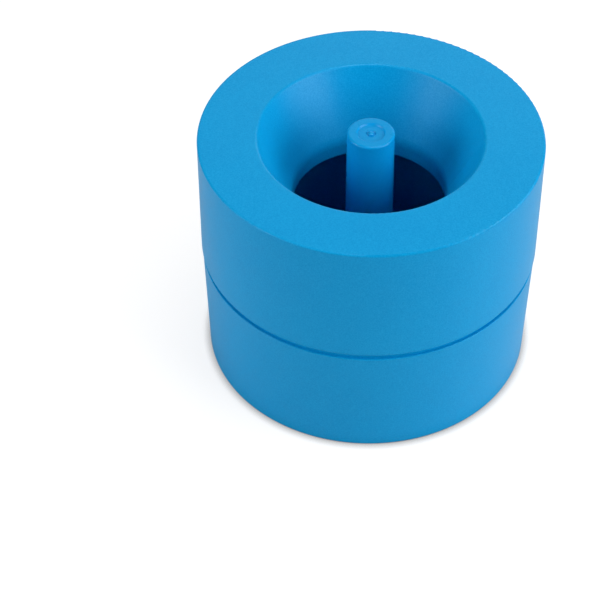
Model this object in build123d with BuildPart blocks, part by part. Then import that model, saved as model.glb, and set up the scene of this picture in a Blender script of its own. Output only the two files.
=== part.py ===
from build123d import *
from math import atan, cos, radians, tan
import os

# Magnetic paper clip holder: a round holder in two moulded shells, with a magnetic post standing in a funnel.
# Millimetres, +Z up. The origin is on the table, at the middle of the foot.

# Outside of the body, widest at the lower edge of the upper shell
BODY_DIAMETER = 73.4
BODY_HEIGHT = 57.2
UPPER_DRAFT_DEGREES = 0.5
LOWER_DRAFT_DEGREES = 1.1
RIM_EDGE = 0.4
FOOT_EDGE = 0.3

# Joint between the shells, from the outside in: the skirt's overhang, the shadow gap, its seat, then the collar
JOINT_HEIGHT = 27.45
SKIRT_OVERHANG = 0.2
GAP_HEIGHT = 1.5
GAP_DEPTH = 0.7
GAP_EDGE = 0.2
SEAT_WIDTH = 0.5
COLLAR_CLEARANCE = 0.1
COLLAR_WALL = 1.1
COLLAR_HEIGHT = 6.5
COLLAR_LEAD = 0.4
SOCKET_RELIEF = 0.5

# Top ring and funnel of the upper shell
TOP_RING = 12.55
TOP_WALL = 2.4
FUNNEL_FLARE = 7.4
FUNNEL_DEPTH = 18.9
FUNNEL_WALL = 2.0
THROAT_LENGTH = 4.0
MOUTH_EDGE = 0.8
THROAT_EDGE = 0.4
THROAT_BACK_BLEND = 3.0
RING_CORNER = 1.2

# Floor and foot of the lower shell, and the boss that carries the post
FLOOR_WALL = 2.2
FLOOR_CORNER = 3.0
FOOT_RECESS = 1.0
FOOT_RING = 3.5
BOSS_WALL = 2.0
BOSS_HEIGHT = 4.2
BOSS_EDGE = 0.6

# Magnet rod
MAGNET_DIAMETER = 7.0
MAGNET_LENGTH = 24.0
MAGNET_EDGE = 0.3
MAGNET_CLEARANCE = 0.1

# Post sleeve: a tapered thimble over the magnet, with a flange at its foot
POST_RISE = 0.8
SLEEVE_WALL = 1.4
SLEEVE_DRAFT_DEGREES = 0.34
SLEEVE_CLEARANCE = 0.05
TIP_WALL = 1.5
TIP_EDGE = 0.5
FLANGE_WIDTH = 3.7
FLANGE_COVER = 1.2
FLANGE_CLEARANCE = 0.1

# Dish and gate mark in the tip of the sleeve
TIP_RIM = 1.95
DISH_DEPTH = 0.4
DISH_SLOPE_WIDTH = 0.28
DISH_EDGE = 0.1
GATE_DIAMETER = 1.2
GATE_HEIGHT = 0.5
GATE_EDGE = 0.35
GATE_HOLLOW_WIDTH = 0.5
GATE_HOLLOW_DEPTH = 0.2

# Plug that closes the sleeve and holds the magnet up
PLUG_HEAD_STEP = 2.0
PLUG_HEAD_THICKNESS = 1.2
PLUG_HEAD_CLEARANCE = 0.1
PLUG_RIB = 1.6
PLUG_DISC = 1.2

# Radii and heights that more than one piece takes its place from
skirt_radius = BODY_DIAMETER / 2
joint_radius = skirt_radius - SKIRT_OVERHANG
seat_height = JOINT_HEIGHT + GAP_HEIGHT
seat_radius = joint_radius - GAP_DEPTH
socket_radius = seat_radius - SEAT_WIDTH
collar_radius = socket_radius - COLLAR_CLEARANCE
inner_radius = collar_radius - COLLAR_WALL
shell_wall = joint_radius - inner_radius
tip_height = BODY_HEIGHT + POST_RISE
magnet_radius = MAGNET_DIAMETER / 2
magnet_top = tip_height - DISH_DEPTH - TIP_WALL
magnet_bottom = magnet_top - MAGNET_LENGTH
sleeve_bore_radius = magnet_radius + MAGNET_CLEARANCE
plug_head_radius = sleeve_bore_radius + PLUG_HEAD_STEP
plug_seat_height = FOOT_RECESS + PLUG_HEAD_THICKNESS
flange_seat_height = plug_seat_height + FLANGE_COVER
tip_radius = sleeve_bore_radius + SLEEVE_WALL
sleeve_foot_radius = tip_radius + (tip_height - flange_seat_height) * tan(radians(SLEEVE_DRAFT_DEGREES))
flange_radius = sleeve_foot_radius + FLANGE_WIDTH


def section_line(corners):
    """Draw a closed section from its corners, each given as its radius, its height and its rounding."""
    points = [(radius, height) for radius, height, rounding in corners]
    roundings = [rounding for radius, height, rounding in corners]
    FilletPolyline(*points, radius=roundings, close=True)


os.makedirs("parts", exist_ok=True)

# Upper shell: skirt, flat top ring and funnel, turned from one section
rim_radius = skirt_radius - (BODY_HEIGHT - seat_height) * tan(radians(UPPER_DRAFT_DEGREES))
mouth_radius = rim_radius - TOP_RING
throat_radius = mouth_radius - FUNNEL_FLARE
throat_bottom = BODY_HEIGHT - FUNNEL_DEPTH
throat_top = throat_bottom + THROAT_LENGTH
ring_underside = BODY_HEIGHT - TOP_WALL
socket_top = seat_height + COLLAR_HEIGHT + SOCKET_RELIEF

# The back of the funnel runs parallel to its face, one wall behind it
cone_angle = atan(FUNNEL_FLARE / (FUNNEL_DEPTH - THROAT_LENGTH))
back_offset = FUNNEL_WALL / cos(cone_angle)
throat_back_radius = throat_radius + FUNNEL_WALL
throat_back_top = throat_top - (back_offset - FUNNEL_WALL) / tan(cone_angle)
cone_back_radius = throat_radius + (ring_underside - throat_top) * tan(cone_angle) + back_offset

with BuildPart() as upper_shell:
    with BuildSketch(Plane.XZ):
        with BuildLine():
            section_line(
                [
                    (skirt_radius, seat_height, GAP_EDGE),
                    (rim_radius, BODY_HEIGHT, RIM_EDGE),
                    (mouth_radius, BODY_HEIGHT, MOUTH_EDGE),
                    (throat_radius, throat_top, THROAT_BACK_BLEND + FUNNEL_WALL),
                    (throat_radius, throat_bottom, THROAT_EDGE),
                    (throat_back_radius, throat_bottom, 0),
                    (throat_back_radius, throat_back_top, THROAT_BACK_BLEND),
                    (cone_back_radius, ring_underside, RING_CORNER),
                    (rim_radius - shell_wall, ring_underside, RING_CORNER),
                    (inner_radius, socket_top, 0),
                    (socket_radius, socket_top, 0),
                    (socket_radius, seat_height, 0),
                ]
            )
        make_face()
    revolve(axis=Axis.Z)
upper_shell.part.label = "upper_shell"
export_step(upper_shell.part, "parts/upper_shell.step")

# Lower shell: a cup with a foot ring below, a collar for the upper shell above and a boss in its floor
foot_radius = joint_radius - JOINT_HEIGHT * tan(radians(LOWER_DRAFT_DEGREES))
collar_top = seat_height + COLLAR_HEIGHT
floor_top = FOOT_RECESS + FLOOR_WALL
boss_top = floor_top + BOSS_HEIGHT
flange_bore_radius = flange_radius + FLANGE_CLEARANCE
boss_radius = flange_bore_radius + BOSS_WALL
sleeve_hole_radius = sleeve_foot_radius + SLEEVE_CLEARANCE

with BuildPart() as lower_shell:
    with BuildSketch(Plane.XZ):
        with BuildLine():
            section_line(
                [
                    (foot_radius, 0, FOOT_EDGE),
                    (joint_radius, JOINT_HEIGHT, GAP_EDGE),
                    (seat_radius, JOINT_HEIGHT, 0),
                    (seat_radius, seat_height, 0),
                    (collar_radius, seat_height, 0),
                    (collar_radius, collar_top - COLLAR_LEAD, 0),
                    (collar_radius - COLLAR_LEAD, collar_top, 0),
                    (inner_radius, collar_top, 0),
                    (inner_radius, seat_height, 0),
                    (foot_radius - shell_wall, floor_top, FLOOR_CORNER),
                    (boss_radius, floor_top, 0),
                    (boss_radius, boss_top, BOSS_EDGE),
                    (sleeve_hole_radius, boss_top, 0),
                    (sleeve_hole_radius, flange_seat_height, 0),
                    (flange_bore_radius, flange_seat_height, 0),
                    (flange_bore_radius, FOOT_RECESS, 0),
                    (foot_radius - FOOT_RING, FOOT_RECESS, 0),
                    (foot_radius - FOOT_RING, 0, 0),
                ]
            )
        make_face()
    revolve(axis=Axis.Z)
lower_shell.part.label = "lower_shell"
export_step(lower_shell.part, "parts/lower_shell.step")

# Post sleeve: open below, closed at the tip, with the dish and the gate mark in the middle of the tip
dish_radius = tip_radius - TIP_RIM
dish_floor = tip_height - DISH_DEPTH
gate_radius = GATE_DIAMETER / 2
hollow_radius = gate_radius + GATE_HOLLOW_WIDTH
hollow_floor = dish_floor - GATE_HOLLOW_DEPTH
plug_bore_radius = plug_head_radius + PLUG_HEAD_CLEARANCE

with BuildPart() as post_sleeve:
    with BuildSketch(Plane.XZ):
        with BuildLine():
            section_line(
                [
                    (0, hollow_floor + GATE_HEIGHT, 0),
                    (gate_radius, hollow_floor + GATE_HEIGHT, GATE_EDGE),
                    (gate_radius, hollow_floor, 0),
                    (hollow_radius - GATE_HOLLOW_DEPTH, hollow_floor, 0),
                    (hollow_radius, dish_floor, 0),
                    (dish_radius - DISH_SLOPE_WIDTH, dish_floor, DISH_EDGE),
                    (dish_radius, tip_height, DISH_EDGE),
                    (tip_radius, tip_height, TIP_EDGE),
                    (sleeve_foot_radius, flange_seat_height, 0),
                    (flange_radius, flange_seat_height, 0),
                    (flange_radius, FOOT_RECESS, 0),
                    (plug_bore_radius, FOOT_RECESS, 0),
                    (plug_bore_radius, plug_seat_height, 0),
                    (sleeve_bore_radius, plug_seat_height, 0),
                    (sleeve_bore_radius, magnet_top, 0),
                    (0, magnet_top, 0),
                ]
            )
        make_face()
    revolve(axis=Axis.Z)
post_sleeve.part.label = "post_sleeve"
export_step(post_sleeve.part, "parts/post_sleeve.step")

# Magnet: a round rod against the closed end of the sleeve
with BuildPart() as post_magnet:
    with BuildSketch(Plane.XY.offset(magnet_bottom)):
        Circle(magnet_radius)
    extrude(amount=MAGNET_LENGTH)
    chamfer(post_magnet.edges().filter_by(GeomType.CIRCLE), MAGNET_EDGE)
post_magnet.part.label = "post_magnet"
export_step(post_magnet.part, "parts/post_magnet.step")

# Plug: a head in the sleeve's flange, a cross-shaped stem and a disc under the magnet
disc_bottom = magnet_bottom - PLUG_DISC

with BuildPart() as post_plug:
    with BuildSketch(Plane.XY.offset(FOOT_RECESS)):
        Circle(plug_head_radius)
    extrude(amount=PLUG_HEAD_THICKNESS)
    with BuildSketch(Plane.XY.offset(plug_seat_height)):
        Rectangle(MAGNET_DIAMETER, PLUG_RIB)
        Rectangle(PLUG_RIB, MAGNET_DIAMETER)
        Circle(magnet_radius, mode=Mode.INTERSECT)
    extrude(amount=disc_bottom - plug_seat_height)
    with BuildSketch(Plane.XY.offset(disc_bottom)):
        Circle(magnet_radius)
    extrude(amount=PLUG_DISC)
post_plug.part.label = "post_plug"
export_step(post_plug.part, "parts/post_plug.step")
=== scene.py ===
import math

import bpy
from mathutils import Matrix, Vector

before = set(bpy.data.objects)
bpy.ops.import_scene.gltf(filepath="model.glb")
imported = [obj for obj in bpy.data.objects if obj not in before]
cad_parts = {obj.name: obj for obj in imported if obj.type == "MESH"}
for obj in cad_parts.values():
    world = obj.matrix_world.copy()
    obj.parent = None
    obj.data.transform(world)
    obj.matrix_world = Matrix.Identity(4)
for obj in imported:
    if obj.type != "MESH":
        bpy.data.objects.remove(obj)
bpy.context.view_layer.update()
scene = bpy.context.scene

# Lower shell: the cup with the floor and the foot, injection moulded in blue polystyrene. The spark-eroded
# mould leaves a fine matte grain on it. Its collar stands up inside the joint, for the upper shell to be
# pushed over.
lower_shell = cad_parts["lower_shell"]


def moulded_plastic(name, colour, shade, gloss, roughness, grain_size, grain_depth):
    """Blue moulded plastic. Colour and shade end its mottle, shade is painted shade in the pits. Grain in
    metres.
    """
    clouds_per_metre = 90
    grain_share = 0.85
    pit, top = 0.35, 0.65
    sheen_spread = 0.35
    polish_spread = 0.03
    material = bpy.data.materials.new(name)
    material.use_nodes = True
    nodes = material.node_tree.nodes
    links = material.node_tree.links
    plastic = nodes["Principled BSDF"]
    plastic.inputs["Specular IOR Level"].default_value = gloss

    # Clouds of unevenly mixed pigment, about a centimetre wide, and the pebbles of the mould's grain
    place = nodes.new("ShaderNodeTexCoord")
    clouds = nodes.new("ShaderNodeTexNoise")
    clouds.inputs["Scale"].default_value = clouds_per_metre
    clouds.inputs["Detail"].default_value = 3
    pebbles = nodes.new("ShaderNodeTexNoise")
    pebbles.inputs["Scale"].default_value = 1 / grain_size
    pebbles.inputs["Detail"].default_value = 2
    pebbles.inputs["Roughness"].default_value = 0.6
    links.new(place.outputs["Object"], clouds.inputs["Vector"])
    links.new(place.outputs["Object"], pebbles.inputs["Vector"])

    # Painted shade: the pits of the grain are coloured darker than its tops, and the pigment clouds shift
    # both a little
    speckle = nodes.new("ShaderNodeMix")
    speckle.inputs["Factor"].default_value = grain_share
    mottling_and_pit_shade = nodes.new("ShaderNodeValToRGB")
    mottling_and_pit_shade.color_ramp.elements[0].position = pit
    mottling_and_pit_shade.color_ramp.elements[0].color = (*shade, 1)
    mottling_and_pit_shade.color_ramp.elements[1].position = top
    mottling_and_pit_shade.color_ramp.elements[1].color = (*colour, 1)
    links.new(clouds.outputs["Fac"], speckle.inputs["A"])
    links.new(pebbles.outputs["Fac"], speckle.inputs["B"])
    links.new(speckle.outputs["Result"], mottling_and_pit_shade.inputs["Fac"])
    links.new(mottling_and_pit_shade.outputs["Color"], plastic.inputs["Base Color"])

    # The tops of the grain shine more than its pits
    sheen = nodes.new("ShaderNodeMapRange")
    sheen.inputs["From Min"].default_value = pit
    sheen.inputs["From Max"].default_value = top
    sheen.inputs["To Min"].default_value = 1 - sheen_spread
    sheen.inputs["To Max"].default_value = 1 + sheen_spread
    links.new(pebbles.outputs["Fac"], sheen.inputs["Value"])
    links.new(sheen.outputs["Result"], plastic.inputs["Specular Tint"])

    # Roughness follows the clouds
    polish = nodes.new("ShaderNodeMapRange")
    polish.inputs["To Min"].default_value = roughness - polish_spread
    polish.inputs["To Max"].default_value = roughness + polish_spread
    links.new(clouds.outputs["Fac"], polish.inputs["Value"])
    links.new(polish.outputs["Result"], plastic.inputs["Roughness"])

    # Relief of the grain
    relief = nodes.new("ShaderNodeBump")
    relief.inputs["Distance"].default_value = grain_depth
    links.new(pebbles.outputs["Fac"], relief.inputs["Height"])
    links.new(relief.outputs["Normal"], plastic.inputs["Normal"])
    return material


shell_plastic = moulded_plastic(
    "shell_plastic",
    colour=(0.0016, 0.345, 0.699),
    shade=(0.0012, 0.291, 0.635),
    gloss=0.15,
    roughness=0.32,
    grain_size=0.0003,
    grain_depth=0.000015,
)
lower_shell.data.materials[0] = shell_plastic

# Post sleeve: a smooth thimble of the same blue plastic, pushed up through the cup's floor until its flange
# seats. It was gated at the tip, where the gate mark stands in a shallow dish.
post_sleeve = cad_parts["post_sleeve"]
post_plastic = moulded_plastic(
    "post_plastic",
    colour=(0.0016, 0.306, 0.68),
    shade=(0.0014, 0.298, 0.666),
    gloss=0.165,
    roughness=0.28,
    grain_size=0.0006,
    grain_depth=0.00002,
)
post_sleeve.data.materials[0] = post_plastic

# Magnet: a ground rod of magnet alloy, slid into the sleeve from below until it stops behind the closed tip.
# The sleeve and the plug hide it on every side.
post_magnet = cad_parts["post_magnet"]
grinding_marks_per_metre = 4000
dull_metal = (0.24, 0.24, 0.25)
bright_metal = (0.36, 0.36, 0.37)
fine_ground, coarse_ground = 0.3, 0.5
alloy = bpy.data.materials.new("magnet_alloy")
alloy.use_nodes = True
alloy_nodes = alloy.node_tree.nodes
alloy_links = alloy.node_tree.links
alloy_shader = alloy_nodes["Principled BSDF"]
alloy_shader.inputs["Metallic"].default_value = 1.0
alloy_place = alloy_nodes.new("ShaderNodeTexCoord")
grinding = alloy_nodes.new("ShaderNodeTexNoise")
grinding.inputs["Scale"].default_value = grinding_marks_per_metre
grinding_tone = alloy_nodes.new("ShaderNodeValToRGB")
grinding_tone.color_ramp.elements[0].color = (*dull_metal, 1)
grinding_tone.color_ramp.elements[1].color = (*bright_metal, 1)
grinding_polish = alloy_nodes.new("ShaderNodeMapRange")
grinding_polish.inputs["To Min"].default_value = fine_ground
grinding_polish.inputs["To Max"].default_value = coarse_ground
alloy_links.new(alloy_place.outputs["Object"], grinding.inputs["Vector"])
alloy_links.new(grinding.outputs["Fac"], grinding_tone.inputs["Fac"])
alloy_links.new(grinding.outputs["Fac"], grinding_polish.inputs["Value"])
alloy_links.new(grinding_tone.outputs["Color"], alloy_shader.inputs["Base Color"])
alloy_links.new(grinding_polish.outputs["Result"], alloy_shader.inputs["Roughness"])
post_magnet.data.materials[0] = alloy

# Plug: a plain blue moulding with a cross-shaped stem, pressed into the sleeve from below to hold the magnet
# up. Only its round head shows, in the middle of the foot.
post_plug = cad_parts["post_plug"]
plug_plastic = moulded_plastic(
    "plug_plastic",
    colour=(0.0014, 0.285, 0.62),
    shade=(0.0012, 0.27, 0.60),
    gloss=0.14,
    roughness=0.4,
    grain_size=0.0006,
    grain_depth=0.000015,
)
post_plug.data.materials[0] = plug_plastic

# Upper shell: skirt, flat ring and funnel in one moulding, with the same plastic and grain as the cup.
# It pushes down over the collar, and a narrow shadow gap is left round the joint.
upper_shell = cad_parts["upper_shell"]
upper_shell.data.materials[0] = shell_plastic

# Table: a sheet of white paper that the holder stands on. It glows white for the camera, and faintly for
# reflections, so that it looks like the lit ground of a product photo. The holder's shadow stays on it.
table_half = 3
table_top = -0.00003
corners = [(-table_half, -table_half, table_top), (table_half, -table_half, table_top)]
corners += [(table_half, table_half, table_top), (-table_half, table_half, table_top)]
floor_mesh = bpy.data.meshes.new("floor")
floor_mesh.from_pydata(corners, [], [(0, 1, 2, 3)])
floor = bpy.data.objects.new("floor", floor_mesh)
scene.collection.objects.link(floor)
paper = bpy.data.materials.new("white_paper")
paper.use_nodes = True
paper_nodes = paper.node_tree.nodes
paper_links = paper.node_tree.links
paper_shader = paper_nodes["Principled BSDF"]
paper_shader.inputs["Roughness"].default_value = 0.9
paper_shader.inputs["Specular IOR Level"].default_value = 0
paper_shader.inputs["Emission Color"].default_value = (1, 1, 1, 1)
rays = paper_nodes.new("ShaderNodeLightPath")

# The paper's tone: greyer for the camera, because the glow comes on top, and darker where the foot meets
# the paper, as a painted shadow round the foot
tone_for_light, tone_for_camera = 0.6, 0.3
painted_shadow_reach = 0.002
paper_tone = paper_nodes.new("ShaderNodeMapRange")
paper_tone.inputs["To Min"].default_value = tone_for_light
paper_tone.inputs["To Max"].default_value = tone_for_camera
painted_foot_shadow = paper_nodes.new("ShaderNodeAmbientOcclusion")
painted_foot_shadow.inputs["Distance"].default_value = painted_shadow_reach
painted_foot_shadow.samples = 8
paper_links.new(rays.outputs["Is Camera Ray"], paper_tone.inputs["Value"])
paper_links.new(paper_tone.outputs["Result"], painted_foot_shadow.inputs["Color"])
paper_links.new(painted_foot_shadow.outputs["Color"], paper_shader.inputs["Base Color"])

# The glow that the camera sees: stronger far off, where less light falls from the lamps, and weaker where
# the foot meets the paper, as a painted shadow round the foot
near_glow, far_glow = 0.79, 1.0
near_reach, far_reach = 0.2, 1.0
place_on_table = paper_nodes.new("ShaderNodeTexCoord")
from_middle = paper_nodes.new("ShaderNodeVectorMath")
from_middle.operation = "LENGTH"
whiter_far_off = paper_nodes.new("ShaderNodeMapRange")
whiter_far_off.interpolation_type = "SMOOTHSTEP"
whiter_far_off.inputs["From Min"].default_value = near_reach
whiter_far_off.inputs["From Max"].default_value = far_reach
whiter_far_off.inputs["To Min"].default_value = near_glow
whiter_far_off.inputs["To Max"].default_value = far_glow
glow_with_painted_shadow = paper_nodes.new("ShaderNodeMath")
glow_with_painted_shadow.operation = "MULTIPLY"
paper_links.new(place_on_table.outputs["Object"], from_middle.inputs[0])
paper_links.new(from_middle.outputs["Value"], whiter_far_off.inputs["Value"])
paper_links.new(whiter_far_off.outputs["Result"], glow_with_painted_shadow.inputs[0])
paper_links.new(painted_foot_shadow.outputs["AO"], glow_with_painted_shadow.inputs[1])

# The fainter glow that reflections see, and the sum of both
glow_in_reflections = 0.05
table_reflected = paper_nodes.new("ShaderNodeMath")
table_reflected.operation = "MAXIMUM"
reflected_glow = paper_nodes.new("ShaderNodeMath")
reflected_glow.operation = "MULTIPLY"
reflected_glow.inputs[1].default_value = glow_in_reflections
table_glow = paper_nodes.new("ShaderNodeMath")
table_glow.operation = "MULTIPLY_ADD"
paper_links.new(rays.outputs["Is Glossy Ray"], table_reflected.inputs[0])
paper_links.new(rays.outputs["Is Transmission Ray"], table_reflected.inputs[1])
paper_links.new(table_reflected.outputs[0], reflected_glow.inputs[0])
paper_links.new(rays.outputs["Is Camera Ray"], table_glow.inputs[0])
paper_links.new(glow_with_painted_shadow.outputs[0], table_glow.inputs[1])
paper_links.new(reflected_glow.outputs[0], table_glow.inputs[2])
paper_links.new(table_glow.outputs[0], paper_shader.inputs["Emission Strength"])
floor_mesh.materials.append(paper)

# Backdrop: the white surroundings of the table. The camera sees them as white, reflections see them as
# faintly as the table, and they cast no other light on the holder.
backdrop = bpy.data.worlds.new("backdrop")
backdrop.use_nodes = True
backdrop_nodes = backdrop.node_tree.nodes
backdrop_links = backdrop.node_tree.links
backdrop_shader = backdrop_nodes["Background"]
backdrop_shader.inputs["Color"].default_value = (1, 1, 1, 1)
backdrop_rays = backdrop_nodes.new("ShaderNodeLightPath")
backdrop_reflected = backdrop_nodes.new("ShaderNodeMath")
backdrop_reflected.operation = "MAXIMUM"
backdrop_glow = backdrop_nodes.new("ShaderNodeMath")
backdrop_glow.operation = "MULTIPLY_ADD"
backdrop_glow.inputs[1].default_value = glow_in_reflections
backdrop_links.new(backdrop_rays.outputs["Is Glossy Ray"], backdrop_reflected.inputs[0])
backdrop_links.new(backdrop_rays.outputs["Is Transmission Ray"], backdrop_reflected.inputs[1])
backdrop_links.new(backdrop_reflected.outputs[0], backdrop_glow.inputs[0])
backdrop_links.new(backdrop_rays.outputs["Is Camera Ray"], backdrop_glow.inputs[2])
backdrop_links.new(backdrop_glow.outputs[0], backdrop_shader.inputs["Strength"])
scene.world = backdrop

# Studio light: a large soft box with a brighter middle at each side, a little to the front and stronger on
# the right. A smaller one hangs above, and two weak ones stand behind for the top ring.
middle_of_holder = Vector((0, 0, 0.03))


def soft_box(name, azimuth, elevation, distance, width, height, watts):
    """An area light that faces the holder. Azimuth counts in degrees from the front towards the right."""
    turn = math.radians(azimuth)
    climb = math.radians(elevation)
    outwards = Vector((math.sin(turn), -math.cos(turn), 0)) * math.cos(climb)
    direction = outwards + Vector((0, 0, math.sin(climb)))
    lamp = bpy.data.lights.new(name, "AREA")
    lamp.shape = "RECTANGLE"
    lamp.size = width
    lamp.size_y = height
    lamp.energy = watts
    box = bpy.data.objects.new(name, lamp)
    box.location = middle_of_holder + distance * direction
    box.rotation_euler = (-direction).to_track_quat("-Z", "Y").to_euler()
    scene.collection.objects.link(box)


soft_box("right", azimuth=69, elevation=24, distance=1.0, width=0.9, height=0.66, watts=7.4)
soft_box("right_middle", azimuth=69, elevation=24, distance=0.9, width=0.55, height=0.45, watts=1.5)
soft_box("left", azimuth=-68, elevation=26, distance=1.15, width=1.3, height=0.95, watts=4.85)
soft_box("left_middle", azimuth=-68, elevation=24, distance=0.9, width=0.45, height=0.4, watts=2.65)
soft_box("above", azimuth=90, elevation=80, distance=1.0, width=0.6, height=0.4, watts=4.05)
soft_box("behind", azimuth=180, elevation=35, distance=1.0, width=1.0, height=0.5, watts=0.9)
soft_box("low_behind", azimuth=165, elevation=20, distance=0.95, width=0.8, height=0.4, watts=1.2)

# Camera: a long lens straight in front of the holder, looking down at about 45 degrees and a little to the
# left. Its place, turn and tilt were fitted to the outlines of the holder in the photo.
camera_place = Vector((0, -0.2892, 0.3010))
yaw, pitch, roll = -0.05262, -0.79193, -0.0110
ahead = Vector((math.sin(yaw) * math.cos(pitch), math.cos(yaw) * math.cos(pitch), math.sin(pitch)))
level = Vector((math.cos(yaw), -math.sin(yaw), 0))
upright = level.cross(ahead)
right = math.cos(roll) * level + math.sin(roll) * upright
up = math.cos(roll) * upright - math.sin(roll) * level
facing = Matrix((right, up, -ahead)).transposed()
lens = bpy.data.cameras.new("camera")
lens.lens = 108
lens.sensor_width = 36
camera = bpy.data.objects.new("camera", lens)
camera.matrix_world = Matrix.Translation(camera_place) @ facing.to_4x4()
scene.collection.objects.link(camera)
scene.camera = camera
scene.view_settings.view_transform = "Standard"
